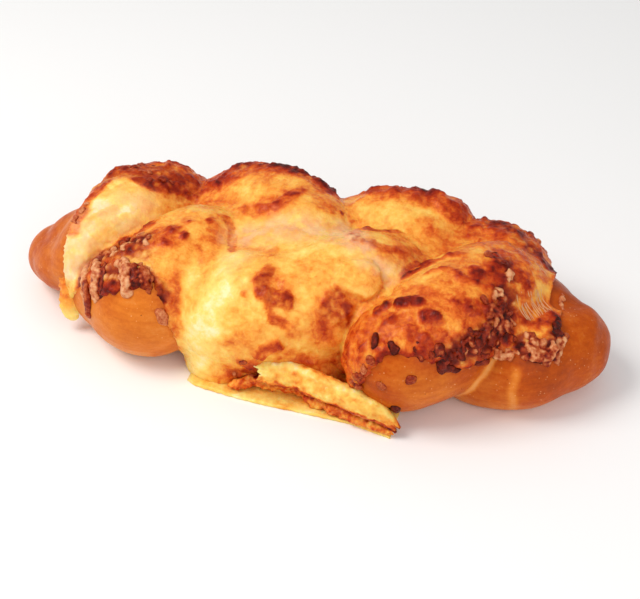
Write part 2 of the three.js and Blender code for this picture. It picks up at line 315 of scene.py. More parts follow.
# Crumbs of grated cheese: how far they lie from a path, a crumb's radius, how many, the range of their
# browning, and the path.
CRUMBS = [
    (1.5, 1.1, 7, 0.15, 0.5, (-99, -14, 48), (-97, -4, 51)),
    (9, 1.3, 12, 0.4, 0.65, (-90, 28, 50), (-80, 26, 54), (-68, 24, 52)),
    (1.6, 1.3, 14, 0.05, 0.6, (-90, -29, 34), (-86, -36, 31), (-83, -41, 27)),
    (1.8, 1.4, 14, 0.05, 0.5, (-83, -30, 40), (-80, -38, 39), (-78, -43, 32)),
    (1.6, 1.5, 16, 0.05, 0.4, (-70, -34, 47), (-66, -40, 46), (-63, -46, 38)),
    (1.4, 1.4, 9, 0.3, 0.7, (-60, -37, 49), (-55, -43, 44)),
    (5, 1.3, 30, 0.1, 0.7, (-86, -27, 37), (-78, -22, 44), (-70, -26, 49), (-60, -26, 53)),
    (3, 1.3, 10, 0.2, 0.6, (-66, -38, 46), (-56, -40, 47)),
    (0.3, 2.5, 2, 0.3, 0.4, (-48, -46, 32), (-48, -47, 30)),
    (1, 1.1, 3, 0.45, 0.6, (-14, -47, 20), (-10, -48, 18)),
    (1.4, 1.5, 8, 0.3, 0.55, (-16, -47, 6), (-10, -46, 7), (-6, -46, 9)),
    (2.4, 1.3, 9, 0.5, 0.8, (78, -3, 56), (84, -4, 55)),
    (1, 1.1, 9, 0.05, 0.3, (88, -6, 53), (88, -11, 52)),
    (1.6, 1.1, 10, 0.1, 0.5, (86, -16, 51), (84, -22, 50)),
    (6, 1.35, 90, 0.35, 0.85, (84, -25, 49), (90, -24, 42), (88, -32, 40), (80, -38, 40)),
    (2.4, 1.3, 14, 0.5, 0.8, (66, -48, 40), (72, -46, 38), (78, -41, 40)),
    (1.6, 1.2, 16, 0.15, 0.5, (88, -34, 32), (96, -32, 34)),
    (4, 1.25, 105, 0.2, 0.62, (100, -27, 34), (106, -28, 32), (111, -26, 31)),
    (2.4, 1.2, 24, 0.15, 0.6, (112, -24, 31), (112, -18, 34)),
    (0.9, 1.2, 10, 0.15, 0.4, (109, 5, 38), (110, 0, 37), (110, -5, 37)),
    (1.4, 1.5, 12, 0.35, 0.65, (37, -50, 20), (40, -52, 27), (44, -52, 34)),
    (0.2, 1.7, 2, 0.5, 0.6, (48, -55, 25), (46, -55, 26)),
    (0.3, 1.7, 1, 0.6, 0.65, (59, -55, 30)),
    (1, 1.7, 4, 0.8, 0.95, (53, -53, 12)),
    (5, 0.4, 6, 0.6, 0.7, (-66, -49, 22), (-70, -47, 30), (-50, -50, 24)),
    (6, 0.4, 7, 0.5, 0.7, (62, -55, 22), (96, -38, 18)),
    (2.5, 1.5, 12, 0.2, 0.6, (-60, 46, 34), (-54, 48, 28)),
    (2.5, 1.5, 12, 0.3, 0.7, (-4, 50, 30), (4, 50, 24)),
    (2.5, 1.5, 14, 0.2, 0.6, (44, 54, 34), (52, 52, 28)),
    (2.5, 1.5, 12, 0.3, 0.7, (84, 38, 34), (90, 32, 30)),
]
# Threads of melted cheese: the two lines, x, y and z, that their upper and their lower ends lie on.
THREAD_TOPS = ((91, -12, 48), (100, -1, 44))
THREAD_FEET = ((98, -19, 40), (107, -7, 38))
THREAD_COUNT = 16
THREAD_RADIUS = 0.14
# The flap of cheese that hangs off the left end of the pale band: waypoints as x, y, z and radius.
FLAP = [(-97, -20, 27, 5), (-98.8, -25, 20, 5.3), (-99, -27.5, 12.5, 4.7), (-98, -28.5, 5.5, 3.2)]
# The browned band of cheese between the foot and the curl: waypoints as x, y, z and radius.
BAND = [
    (-20, -49, 3, 1.6), (-15, -47.6, 4.4, 2.6), (-8, -45.4, 5.2, 2.6), (-2, -44.4, 5.2, 2.4),
     (6, -45, 5, 2.3),
    (14, -47, 4.8, 2.4), (22, -49.8, 4.2, 2.9), (30, -52.1, 4.2, 2.9), (37, -54.2, 4, 2.7),
     (44, -55.8, 3.6, 2.4),
    (50, -57.4, 3, 2), (54, -58.6, 2.4, 1.2),
]
CRUMB_VOXEL = 0.42
BLUNT_END = 0.16  # share of a drip's or a strand's length that each of its rounded ends takes

# ---- The cheese that ran onto the tray ----

# The flat foot: its front edge, as x and y, and the y of its hidden back edge.
FOOT_FRONT = [
    (-38.6, -47), (-34, -49.8), (-27, -51), (-16, -52.6), (-3, -53.6), (13, -54.2), (24, -54.6),
     (35, -55.2),
    (46, -57.8), (52.5, -59.4),
]
FOOT_BACK = -34
FOOT_THICKNESS = 1.7
FOOT_LIP = 0.8  # depth of its rounded front edge
# The stroke along which it is browned: points and half width.
FOOT_STROKE = ([(-20, -49, 2), (-8, -46, 2), (4, -46, 2), (22, -50, 2), (37, -54, 2), (53, -58, 2)], 3.2)
FOOT_BROWNING = 0.32
# The crisp edge that rolled up above it: waypoints as x, y, z and radius.
CURL = [
    (-9, -46.4, 12.5, 4.4), (-4, -45.4, 13, 5), (3, -44.6, 13, 5.3), (12, -46.1, 12.9, 5.3),
    (20, -48.4, 12.6, 5.1), (28, -50.4, 12.4, 5.1), (35, -52.8, 12.3, 4.8), (43, -55.4, 11.5, 4.2),
    (48, -55.8, 9.6, 3.6), (51.5, -56.4, 7.4, 2.8), (54.5, -57, 5, 1.8),
]
CURL_THICKNESS = 1.5

# ---- Colours, as sRGB hex ----

CHEESE_COLOURS = [
    (0.0, "FFE9B4"), (0.12, "FED776"), (0.26, "F9BB55"), (0.4, "EF9638"), (0.52, "DC6A20"),
    (0.64, "BC400C"), (0.76, "942004"), (0.88, "620D00"), (1.0, "380400"),
]
PALE_COLOURS = [(0.35, "F2C48E"), (0.65, "EBA57C")]
CRUMB_COLOURS = [
    (0.0, "E6A878"), (0.2, "D07E4E"), (0.38, "B04E22"), (0.54, "8A2408"), (0.76, "5C0F00"), (1.0, "320500"),
]
DOUGH_COLOURS = [(0.0, "E69A50"), (0.3, "D87722"), (0.6, "B84C00"), (1.0, "782200")]
PORE_COLOUR = "F6C88E"

# ---- Stage, light and camera, in metres ----

FLOOR_HALF = 3
FLOOR_COLOUR = (0.93, 0.93, 0.93, 1.0)
WORLD_STRENGTH = 0.55
# Area lights: name, place, size, watts and colour. They all aim at the loaf.
LIGHTS = [
    ("key", (-0.5, -0.25, 0.8), 0.5, 5.8, (1, 0.97, 0.93)),
    ("fill", (0.6, -0.7, 0.5), 0.8, 3.2, (1, 1, 1)),
]
LIGHT_AIM = (0, 0, 0.02)
VIEW_AZIMUTH = 16  # degrees that the camera stands to the right of the loaf's front
VIEW_ELEVATION = 37
VIEW_DISTANCE = 0.65
VIEW_TARGET = (0.00825, -0.0023, 0.020)
VIEW_SHIFT = (-0.0046875, 0.00078125)  # of the lens, as shares of the picture's width


def linear(code):
    """A hex sRGB colour as linear RGBA."""
    values = [int(code[i : i + 2], 16) / 255 for i in (0, 2, 4)]
    return [v / 12.92 if v <= 0.04045 else ((v + 0.055) / 1.055) ** 2.4 for v in values] + [1.0]


# ---- Meshes ----


def new_object(name, points, faces):
    """A smooth mesh object from points in millimetres."""
    mesh = bpy.data.meshes.new(name)
    mesh.from_pydata([tuple(p) for p in np.asarray(points) * MM], [], [tuple(map(int, f)) for f in faces])
    mesh.update()
    mesh.shade_smooth()
    thing = bpy.data.objects.new(name, mesh)
    bpy.context.scene.collection.objects.link(thing)
    return thing


def finish_piece(piece, material, **layers):
    """Gives a piece its material and the layers that this reads: a value for each point, or one for all."""
    for name, values in layers.items():
        layer = piece.data.attributes.new(name, "FLOAT", "POINT")
        layer.data.foreach_set("value", np.broadcast_to(values, len(layer.data)).astype(np.float32))
    piece.data.materials.append(material)
    return piece


def rope_line(waypoints, steps):
    """Middle line, radius and direction of a rope: a centripetal Catmull-Rom curve through its waypoints."""
    way = np.array(waypoints, float)
    control = np.vstack([2 * way[0] - way[1], way, 2 * way[-1] - way[-2]])
    place = np.linspace(0, len(way) - 1, steps)
    span = np.minimum(place.astype(int), len(way) - 2)
    share = (place - span)[:, None]
    p0, p1, p2, p3 = (control[span + k, :3] for k in range(4))
    d0, d1, d2 = (np.linalg.norm(b - a, axis=1)[:, None] ** 0.5 for a, b in ((p0, p1), (p1, p2), (p2, p3)))
    t1 = ((p1 - p0) / d0 - (p2 - p0) / (d0 + d1) + (p2 - p1) / d1) * d1
    t2 = ((p2 - p1) / d1 - (p3 - p1) / (d1 + d2) + (p3 - p2) / d2) * d1
    line = p1 + t1 * share + (3 * (p2 - p1) - 2 * t1 - t2) * share**2 + (2 * (p1 - p2) + t1 + t2) * share**3
    ease = smooth_step(share[:, 0], 0, 1)
    radius = way[span, 3] * (1 - ease) + way[span + 1, 3] * ease
    ahead = np.gradient(line, axis=0)
    return line, radius, ahead / np.linalg.norm(ahead, axis=1)[:, None]


def around(ahead, angle):
    """Directions around a line at those angles, which start at its side and go over its top."""
    side = np.cross(ahead, (0, 0, 1))
    side /= np.linalg.norm(side, axis=1)[:, None]
    over = np.cross(side, ahead)
    return np.cos(angle)[..., None] * side[:, None] + np.sin(angle)[..., None] * over[:, None]


def grid_faces(rows, columns, closed):
    """The quads of a grid of points. A closed one's rows are rings, and its first and last are capped."""
    faces = []
    for row in range(0, (rows - 1) * columns, columns):
        for near in range(columns if closed else columns - 1):
            far = (near + 1) % columns
            faces.append((row + near, row + columns + near, row + columns + far, row + far))
    if closed:
        last = (rows - 1) * columns
        faces += [range(columns), range(last + columns - 1, last - 1, -1)]
    return faces


def tube(line, radius, ahead, sides):
    """Points and faces of a closed tube along a line."""
    turn = np.linspace(0, 2 * math.pi, sides, endpoint=False)
    points = line[:, None] + radius[:, None, None] * around(ahead, turn)
    return points.reshape(-1, 3), grid_faces(len(line), sides, True)


def round_tube(waypoints, steps, sides, end, tip):
    """A tube whose round ends take a share of its length, and the middle line beside each of its points."""
    line, radius, ahead = rope_line(waypoints, steps)
    t = np.linspace(0, 1, steps)
    points, faces = tube(line, radius * quarter_round(np.minimum(t, 1 - t) / end) + tip, ahead, sides)
    return points, faces, np.repeat(line, sides, axis=0)


def ellipsoid(centre, half, sides=64, rings=32):
    """Points and faces of an ellipsoid, as a tube whose radius swells and shrinks."""
    angle = np.linspace(0.02, math.pi - 0.02, rings)
    ahead = np.tile((1.0, 0.0, 0.0), (rings, 1))
    points, faces = tube(-np.cos(angle)[:, None] * ahead, np.sin(angle), ahead, sides)
    return points * half + centre, faces


def join_shapes(shapes):
    """The points and the faces of several shapes as one."""
    faces, count = [], 0
    for points, shape_faces in shapes:
        faces += [tuple(i + count for i in face) for face in shape_faces]
        count += len(points)
    return np.vstack([points for points, _ in shapes]), faces


def remeshed(rough, voxel):
    """Points in mm and quads of one skin round an object's overlapping shapes. The object itself goes."""
    modifier = rough.modifiers.new("skin", "REMESH")
    modifier.mode = "VOXEL"
    modifier.voxel_size = voxel * MM
    evaluated = rough.evaluated_get(bpy.context.evaluated_depsgraph_get())
    mesh = evaluated.to_mesh()
    points = np.zeros(len(mesh.vertices) * 3)
    mesh.vertices.foreach_get("co", points)
    corners = np.zeros(len(mesh.loops), int)
    mesh.loops.foreach_get("vertex_index", corners)
    evaluated.to_mesh_clear()
    bpy.data.objects.remove(rough)
    return points.reshape(-1, 3) / MM, corners.reshape(-1, 4)


def sides_of(quads):
    """The four sides of each quad, from corner to corner."""
    return np.concatenate([quads[:, [k, (k + 1) % 4]] for k in range(4)])


def edges_of(quads):
    """Each edge of a quad mesh, in both directions."""
    sides = sides_of(quads)
    return np.unique(np.concatenate([sides, sides[:, ::-1]]), axis=0)


def relaxed(values, edges, share, rounds):
    """Each value drawn towards the mean of its neighbours by its share, a number of times."""
    count = np.bincount(edges[:, 0], minlength=len(values)).astype(float)
    columns = values.reshape(len(values), -1).copy()
    share = np.broadcast_to(share, len(values))[:, None]
    for _ in range(rounds):
        sums = [np.bincount(edges[:, 0], column[edges[:, 1]], len(values)) for column in columns.T]
        columns += share * (np.stack(sums, 1) / count[:, None] - columns)
    return columns.reshape(values.shape)


def normals_of(points, quads):
    across = np.cross(points[quads[:, 2]] - points[quads[:, 0]], points[quads[:, 3]] - points[quads[:, 1]])
    total = np.zeros_like(points)
    for k in range(4):
        for axis in range(3):
            total[:, axis] += np.bincount(quads[:, k], across[:, axis], len(points))
    return total / np.maximum(np.linalg.norm(total, axis=1), 1e-12)[:, None]


def new_sheet(name, outer, inner, quads):
    """A closed sheet between an outer and an inner surface that share their faces."""
    used, place = np.unique(quads, return_inverse=True)
    faces, count = place.reshape(-1, 4), len(used)
    sides = set(map(tuple, sides_of(faces)))
    rim = [(b, a, a + count, b + count) for a, b in sides if (b, a) not in sides]
    return new_object(name, np.vstack([outer[used], inner[used]]), [*faces, *(faces[:, ::-1] + count), *rim])


def above_floor(points, height=0.0):
    """Points lifted to that height wherever they lie lower."""
    return np.maximum(points, (-np.inf, -np.inf, height))


def kept_in_box(points, box):
    """Points drawn in gently wherever they come near the walls or the top of the CAD model's box."""
    points = points.copy()
    for axis, side in ((0, 1), (0, -1), (1, 1), (1, -1), (2, 1)):
        wall = side * box[1 if side > 0 else 0][axis]
        over = np.maximum(side * points[:, axis] - (wall - BOX_MARGIN), 0)
        points[:, axis] -= side * (over - BOX_MARGIN * (1 - np.exp(-over / BOX_MARGIN)))
    return above_floor(points, box[0][2])


# ---- Fields over the surface ----


def smooth_step(values, low, high):
    t = np.clip((values - low) / (high - low), 0, 1)
    return t * t * (3 - 2 * t)


def quarter_round(share):
    """A rise from 0 to 1 with the outline of a quarter circle."""
    return np.sqrt(1 - (1 - np.clip(share, 0, 1)) ** 2)


def noise_field(points, size, octaves, seed):
    """Fractal noise around 0, with features of that size. Each seed gives another pattern."""
    start = Vector((37.1 * (seed + SEED), 11.7 * seed, 5.3 * seed))
    return np.array([noise.fractal(Vector(p) / size + start, 1.0, 2.0, octaves) for p in points])


def warp_of(points):
    """A shift of a few millimetres at each point, which gives painted outlines their ragged course."""
    return np.array([
        2.8 * noise.noise_vector(Vector(p) / 9) + 1.5 * noise.noise_vector(Vector(p) / 3.6) for p in points
    ])


def blisters(points, size, seed):
    """Round blisters: 1 in the middle of each, 0 between them."""
    start = Vector((3.7 * seed, 1.9 * seed, 7.3 * seed))
    near = np.array([noise.voronoi(Vector(p) / size + start)[0][0] for p in points])
    return np.clip(1 - (near / 0.55) ** 2, 0, 1)


def wrinkles(points, size, seed):
    """Narrow ridges that wander over the surface: 1 on a ridge, 0 between them."""
    return np.exp(-((noise_field(points, size, 3, seed) / 0.08) ** 2))


def distance_to_path(points, path):
    """Distance of each point from a row of line segments."""
    path = np.asarray(path, float)
    if len(path) == 1:
        return np.linalg.norm(points - path[0], axis=1)
    best = np.full(len(points), np.inf)
    for a, b in zip(path[:-1], path[1:]):
        ab = b - a
        t = np.clip((points - a) @ ab / max(ab @ ab, 1e-9), 0, 1)
        best = np.minimum(best, np.linalg.norm(points - a - t[:, None] * ab, axis=1))
    return best


def painted(points, warp, path, width, core):
    """How strongly a stroke covers each point: 1 within its core, a share of its width, to 0 outside."""
    shifted = points + min(1, width / FULLY_WARPED) * warp
    return smooth_step(-distance_to_path(shifted, path) / width, -1, -core)


def snapped(path, tree, spacing=3.0):
    """A path with points every few millimetres, each laid onto the surface."""
    path = [Vector(p) for p in path]
    full = path[:1]
    for a, b in zip(path[:-1], path[1:]):
        parts = max(1, round((b - a).length / spacing))
        full += [a.lerp(b, (i + 1) / parts) for i in range(parts)]
    return [tuple(tree.find_nearest(p)[0]) for p in full]


def tree_of(*things):
    """One search tree, in millimetres, over the surfaces of several objects."""
    points, faces = [], []
    for thing in things:
        start = len(points)
        points += [v.co / MM for v in thing.data.vertices]
        faces += [tuple(i + start for i in polygon.vertices) for polygon in thing.data.polygons]
    return BVHTree.FromPolygons(points, faces)


# ---- Materials ----


class Nodes:
    """Short calls that add nodes to a material and link them."""

    def __init__(self, name):
        self.material = bpy.data.materials.new(name)
        self.material.use_nodes = True
        self.tree = self.material.node_tree

    def link(self, source, target):
        if hasattr(source, "is_output"):
            self.tree.links.new(source, target)
        else:
            target.default_value = source

    def add(self, kind, inputs, **settings):
        node = self.tree.nodes.new("ShaderNode" + kind)
        for key, value in settings.items():
            setattr(node, key, value)
        for key, value in dict(inputs).items():
            self.link(value, node.inputs[key])
        return node

    def attribute(self, name):
        return self.add("Attribute", {}, attribute_name=name).outputs["Fac"]

    def coordinates(self):
        return self.add("TexCoord", {}).outputs["Object"]

    def noise(self, size, detail=3.0, roughness=0.55, distortion=0.0, stretch=(1, 1, 1)):
        """Noise with features of that size in millimetres, as a factor around 0.5."""
        place = self.add("Mapping", {"Vector": self.coordinates(), "Scale": stretch}).outputs["Vector"]
        inputs = {"Vector": place, "Scale": 1 / (size * MM), "Detail": detail, "Roughness": roughness}
        return self.add("TexNoise", {**inputs, "Distortion": distortion}).outputs["Fac"]

    def swing(self, amount, *pattern, **more):
        """Noise that swings around 0 by half that amount either way."""
        return self.math("MULTIPLY_ADD", self.noise(*pattern, **more), amount, -amount / 2)

    def cells(self, size, feature="F1"):
        """Distance from the middle of the nearest cell, for cells of that size in millimetres."""
        inputs = {"Vector": self.coordinates(), "Scale": 1 / (size * MM)}
        return self.add("TexVoronoi", inputs, feature=feature).outputs["Distance"]

    def math(self, operation, *values):
        return self.add("Math", enumerate(values), operation=operation).outputs[0]

    def total(self, value, *others):
        for other in others:
            value = self.math("ADD", value, other)
        return value

    def product(self, a, b):
        return self.math("MULTIPLY", a, b)

    def spread(self, value, low, high, to_low=0.0, to_high=1.0):
        """A value eased from one range into another."""
        ends = {"From Min": low, "From Max": high, "To Min": to_low, "To Max": to_high}
        node = self.add("MapRange", {"Value": value, **ends}, interpolation_type="SMOOTHSTEP")
        return node.outputs["Result"]

    def ramp(self, value, colours):
        node = self.add("ValToRGB", {"Fac": value})
        stops = node.color_ramp.elements
        while len(stops) < len(colours):
            stops.new(0.5)
        for stop, (place, code) in zip(stops, colours):
            stop.position = place
            stop.color = linear(code)
        return node.outputs["Color"]

    def mix(self, share, a, b):
        """Two colours mixed, with the second one's share."""
        node = self.add("Mix", {}, data_type="RGBA")
        for place, value in ((0, share), (6, a), (7, b)):  # the places of Factor, A and B for colours
            self.link(value, node.inputs[place])
        return node.outputs[2]

    def bump(self, height, distance, strength):
        inputs = {"Height": height, "Distance": distance * MM, "Strength": strength}
        return self.add("Bump", inputs).outputs["Normal"]

    def finish(self, colour, roughness, normal, scatter=(0.0, (1, 1, 1)), specular=0.5, coat=(0.0, 0.0)):
        """Sets the shader: scatter is a weight and the light's reach in mm, coat a weight and roughness."""
        values = {
            "Base Color": colour, "Roughness": roughness, "Normal": normal, "Subsurface Weight": scatter[0],
            "Subsurface Radius": [reach * MM for reach in scatter[1]], "Subsurface Scale": 1.0,
            "Specular IOR Level": specular, "Coat Weight": coat[0], "Coat Roughness": coat[1],
        }
        for name, value in values.items():
            self.link(value, self.tree.nodes["Principled BSDF"].inputs[name])
        return self.material


def dough_material():
    n = Nodes("dough_crust")
    streaks = n.swing(0.36, 2.4, 3, 0.6, stretch=(0.16, 0.5, 1))
    brown = n.total(n.attribute("browning"), n.swing(0.5, 22, 4), n.swing(0.3, 1.6, 4, 0.7), streaks)
    pores = n.product(n.spread(n.cells(1.9), 0.06, 0.2, 1.0, 0.0), n.spread(n.noise(7), 0.45, 0.62))
    colour = n.mix(n.product(pores, 0.45), n.ramp(brown, DOUGH_COLOURS), linear(PORE_COLOUR))
    roughness = n.spread(n.noise(5, 4), 0.3, 0.7, 0.32, 0.5)
    height = n.total(n.product(n.noise(1.1, 4, 0.65), 0.5), n.product(n.noise(5, 2), 1.2))
    normal = n.bump(height, 0.35, 0.7)
    return n.finish(colour, roughness, normal, (0.12, (3, 1.4, 0.6)), 0.14, (0.02, 0.2))


def cheese_material():
    n = Nodes("melted_cheese")
    level = n.attribute("browning")
    mottle = n.total(n.swing(0.8, 2.6, 4, 0.6, 0.5), n.swing(0.7, 9, 3, 0.5, 0.6))
    level = n.total(level, n.product(mottle, n.spread(level, 0.1, 0.45, 0.35, 0.6)))
    colour = n.mix(n.attribute("grain"), n.ramp(level, CHEESE_COLOURS), n.ramp(level, CRUMB_COLOURS))
    plain = n.product(n.attribute("pinkness"), n.spread(n.noise(6, 3), 0.36, 0.58, 0.3, 1.1))
    colour = n.mix(plain, colour, n.ramp(n.noise(7, 4), PALE_COLOURS))
    toast = n.product(n.spread(level, 0.45, 0.8), 0.1)
    roughness = n.total(n.spread(n.noise(4, 4), 0.3, 0.7, 0.22, 0.42), toast)
    lumps = n.product(n.cells(3.2, "SMOOTH_F1"), n.spread(level, 0.3, 0.7, 0.2, 1.0))
    normal = n.bump(n.total(n.product(n.noise(1.2, 5, 0.6), 0.6), lumps), 0.8, 0.75)
    return n.finish(colour, roughness, normal, (0.35, (5, 2, 0.7)), 0.12, (0.06, 0.08))


def crumb_material():
    n = Nodes("toasted_crumbs")
    colour = n.ramp(n.total(n.attribute("browning"), n.swing(0.8, 1.4, 4, 0.65)), CRUMB_COLOURS)
    roughness = n.spread(n.noise(2.5, 3), 0.3, 0.7, 0.2, 0.45)
    normal = n.bump(n.noise(0.9, 4, 0.65), 0.6, 0.8)
    return n.finish(colour, roughness, normal, (0.15, (2, 1, 0.5)), 0.12, (0.1, 0.08))


# ---- The loaf ----


class Skin:
    """The fused ropes as one closed skin with a flat base, and what the dough and the cheese need of it."""

    def __init__(self):
        self.points, self.quads, edges = fused_ropes()
        self.normals = relaxed(normals_of(self.points, self.quads), edges, 0.5, 4)
        self.warp = warp_of(self.points)
        self.cover = cheese_cover(self.points)


def fused_ropes():
    """Points, quads and edges of the fused ropes, with the creases filled where the cheese melted."""
    shapes = [round_tube(waypoints, 360, 96, ROPE_END, 0.01)[:2] for waypoints in ROPES.values()]
    points, faces = join_shapes(shapes + [ellipsoid(*filling) for filling in FILLINGS])
    points, quads = remeshed(new_object("rough", points + PLAIT_AXIS, faces), SKIN_VOXEL)
    edges = edges_of(quads)
    points = relaxed(points, edges, 0.5, 4)
    share = 0.5 * smooth_step(cheese_cover(points), -1, 4)
    share = np.maximum(share, smooth_step(np.abs(points[:, 0]), TIPS, TIPS + 8))
    for width, *path in MELTED:
        share = np.maximum(share, smooth_step(-distance_to_path(points, path) / width, -1, -0.4))
    points = filled(points, quads, edges, share)
    points = relaxed(points, edges, 0.7 * share, 8)
    points[:, 2] *= 1 - LEFT_TIP_PRESS * smooth_step(-points[:, 0], 97, 118)
    return above_floor(points), quads, edges


def filled(points, quads, edges, share):
    """The surface with its creases filled: drawn out to a smoothed copy of itself, but never in."""
    smooth = relaxed(points, edges, 0.8, MELT_ROUNDS)
    push = np.einsum("ij,ij->i", smooth - points, normals_of(points, quads))
    return points + (share * smooth_step(push, 0, 0.8))[:, None] * (smooth - points)


def cheese_cover(points):
    """How far inside the cheese's outline each point is, in millimetres; negative outside."""
    front, back = (np.interp(points[:, 0], *np.array(edge, float).T) for edge in (FRONT_EDGE, BACK_EDGE))
    side = smooth_step(points[:, 1], -EDGE_BLEND / 2, EDGE_BLEND / 2)
    inside = points[:, 2] - (front * (1 - side) + back * side)
    return inside + 2.2 * noise_field(points, 7, 3, 1) + 0.8 * noise_field(points, 2.2, 2, 2)


def make_dough(skin, box):
    """The bread, and a search tree over its surface."""
    relief = 0.35 * noise_field(skin.points, 16, 3, 3) * smooth_step(skin.points[:, 2], 0, 4)
    points = above_floor(skin.points + skin.normals * relief[:, None])
    loaf = new_object("baked_dough", kept_in_box(points, box), skin.quads)
    # Darker from left to right: partly the crust's own colour, partly painted shade for light that falls
    # from the left. The tips are browner, the crust is darker just below the cheese's edge as painted shade
    # from the cheese, and paler towards the base.
    browning = 0.3 + 0.2 * smooth_step(points[:, 0], -60, 30) + 0.1 * noise_field(points, 25, 3, 4)
    browning += 0.18 * smooth_step(np.abs(points[:, 0]), 84, 120)
    browning += 0.12 * smooth_step(skin.cover, -6, 0) - 0.25 * smooth_step(-points[:, 2], -14, -2)
    tree = tree_of(loaf)
    for width, level, strength, *path in CRUST_MARKS:
        share = painted(points, skin.warp, snapped(path, tree), width, 0.1)
        browning += strength * share * (level - browning)
    return finish_piece(loaf, dough_material(), browning=browning), tree


def make_cheese(skin, box, tree):
    """The melted cheese: strokes of browning and thickness, blistered and folded where it is toasted."""
    points, quads, warp, cover = skin.points, skin.quads, skin.warp, skin.cover

    def share_of(path, width, core):
        return painted(points, warp, snapped(path, tree), width, core)

    def strongest(marks, core):
        return np.max([amount * share_of(path, width, core) for width, amount, *path in marks], axis=0)

    browning = 0.38 + 0.2 * smooth_step(points[:, 1], 22, 46) + 0.18 * noise_field(points, 20, 2, 5)
    lift = np.zeros(len(points))
    for width, height, level, strength, *path in STROKES:
        share = share_of(path, width, 0.5 if width < SPOT else 0.2)
        browning += share * strength * (level - browning)
        lift += share * height
    for width, level, *path in CRISP_EDGES:
        share = share_of(path, width, 0.4) * smooth_step(-cover, -5, -0.5)
        browning += share * (level - browning)
    browning += 0.1 * noise_field(points, 8, 3, 6)

    toast = smooth_step(browning, 0.4, 0.7)
    lumps = blisters(points + warp, 7.5, 9)
    bubbles = blisters(points + 0.4 * warp, 3.6, 10)
    folds = wrinkles(points + 0.6 * warp, 11, 12)
    grains = blisters(points + 0.5 * warp, GRAIN_SIZE, 13)
    grain = strongest(GRAINY, 0.3)
    relief = 0.8 * noise_field(points, 18, 2, 11) + 0.4 * noise_field(points, 8, 3, 8)
    relief += toast * (0.9 * lumps + 0.8 * bubbles + 0.6 * folds - 0.4) + 0.3 * (1 - toast) * folds
    relief += grain * (1.5 * grains - 0.5)
    browning += toast * (0.1 * lumps + 0.12 * bubbles + 0.1 * folds - 0.08) + 0.06 * (1 - toast) * folds
    browning += grain * (0.06 - 0.5 * grains)

    bead = quarter_round(cover / CHEESE_ROUND)
    height = np.where(cover > 0, bead * (CHEESE_THICKNESS + relief + lift), np.maximum(cover, -CHEESE_SUNK))
    outer = kept_in_box(points + skin.normals * height[:, None], box)
    inner = above_floor(points - skin.normals * (CHEESE_SUNK + CHEESE_INSIDE), 0.3)
    quads = quads[(cover[quads] > -1.2 * CHEESE_SUNK).any(1)]
    sheet = new_sheet("cheese_topping", outer, inner, quads)
    used = np.unique(quads)
    layers = {"browning": browning, "pinkness": strongest(PINK, 0.1), "grain": grain}
    both_sides = {name: np.tile(values[used], 2) for name, values in layers.items()}
    return finish_piece(sheet, cheese_material(), **both_sides)


def outermost(point, dough_tree, tree, reach=12.0):
    """The outermost surface over a point's nearest place on the dough, and the dough's normal there."""
    place, normal = dough_tree.find_nearest(Vector(point))[:2]
    hit = tree.ray_cast(place + reach * normal, -normal, 2 * reach)[0]
    return hit or place, normal


def unit_ball():
    """Points and faces of a ball of radius 1."""
    shape = bmesh.new()
    bmesh.ops.create_icosphere(shape, subdivisions=3, radius=1)
    points = np.array([v.co for v in shape.verts])
    faces = [tuple(v.index for v in f.verts) for f in shape.faces]
    shape.free()
    return points, faces


def drip_shapes():
    """Each drip: its points and faces, and its browning at every point."""
    for level, end_level, *waypoints in DRIPS:
        points, faces, middle = round_tube(waypoints, 26, 16, BLUNT_END, 0.02)
        along = np.repeat(np.linspace(0, 1, 26), 16)
        points = middle + (points - middle) * (1 + 0.5 * noise_field(points, 2.4, 3, 20))[:, None]
        yield (points, faces), level + along * (end_level - level) + 0.25 * noise_field(points, 3, 2, 21)


def crumb_shapes(dough_tree, tree):
    """Each crumb, sunk a little into the surface: its points and faces, and its browning."""
    rng = np.random.default_rng(SEED)
    ball, faces = unit_ball()
    for spread, size, count, light, dark, *path in CRUMBS:
        dense = np.array(snapped(path, dough_tree, 1.0))
        for _ in range(count):
            start = dense[rng.integers(len(dense))] + rng.normal(0, 0.5, 3) * spread
            place, normal = outermost(start, dough_tree, tree)
            across = normal.orthogonal().normalized()
            across.rotate(Quaternion(normal, rng.uniform(0, 2 * math.pi)))
            axes = np.array([across, normal.cross(across), normal])
            scale = size * rng.uniform(0.6, 1.25) * np.array((rng.uniform(1, 1.7), 1, rng.uniform(0.7, 0.9)))
            shape = ball * (1 + 0.45 * noise_field(ball + rng.uniform(-50, 50, 3), 1.1, 2, 22))[:, None]
            points = (shape * scale) @ axes + np.array(place - 0.15 * size * normal)
            yield (points, faces), np.full(len(ball), rng.uniform(light, dark))


def make_crumbs(dough_tree, tree, box):
    """Every drip and crumb, fused where they touch, with painted shade in their hollows and a painted
    contact shadow where they meet the loaf.
    """
    shapes, levels = zip(*drip_shapes(), *crumb_shapes(dough_tree, tree))
    points, faces = join_shapes(shapes)
    rough = new_object("rough", points, faces)
    rough_tree = tree_of(rough)
    points, quads = remeshed(rough, CRUMB_VOXEL)
    nearest = [faces[rough_tree.find_nearest(Vector(p))[2]][0] for p in points]
    edges = edges_of(quads)
    points = relaxed(points, edges, 0.5, 3)
    hollow = np.einsum("ij,ij->i", relaxed(points, edges, 0.5, 16) - points, normals_of(points, quads))
    above = np.array([tree.find_nearest(Vector(p))[3] for p in points])
    browning = relaxed(np.concatenate(levels)[nearest], edges, 0.5, 2)
    # painted shade: darker in the hollows between fused crumbs, and a painted contact shadow within 0.7 mm
    # of the loaf
    browning += 1.5 * np.clip(hollow, -0.08, 0.3) + 0.2 * smooth_step(-above, -0.7, 0)
    crumbs = new_object("toasted_crumbs", kept_in_box(points, box), quads)
    return finish_piece(crumbs, crumb_material(), browning=browning)


